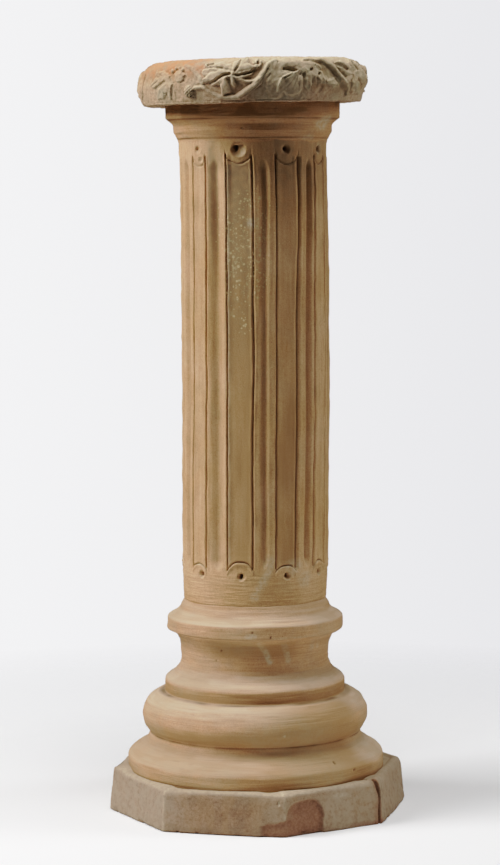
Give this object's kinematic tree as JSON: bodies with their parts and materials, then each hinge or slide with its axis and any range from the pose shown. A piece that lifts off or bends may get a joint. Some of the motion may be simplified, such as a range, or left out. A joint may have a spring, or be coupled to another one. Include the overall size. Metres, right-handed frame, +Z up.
{
  "type": "garden column",
  "caption": "Fluted terracotta garden column with an octagonal plinth, a moulded foot and a round slab edged with vine leaves, to stand a pot or an urn on.",
  "frame": {"origin": "centre of the plinth's underside, on the ground", "axes": "+Z up along the column's axis; -Y through the middle of one of the plinth's eight faces, which is the front; +X to the right seen from the front"},
  "size_m": [0.37, 0.37, 1.0025],
  "materials": {
    "terracotta": null
  },
  "bodies": {
    "root": {"terracotta_column": "terracotta"}
  },
  "joints": []
}
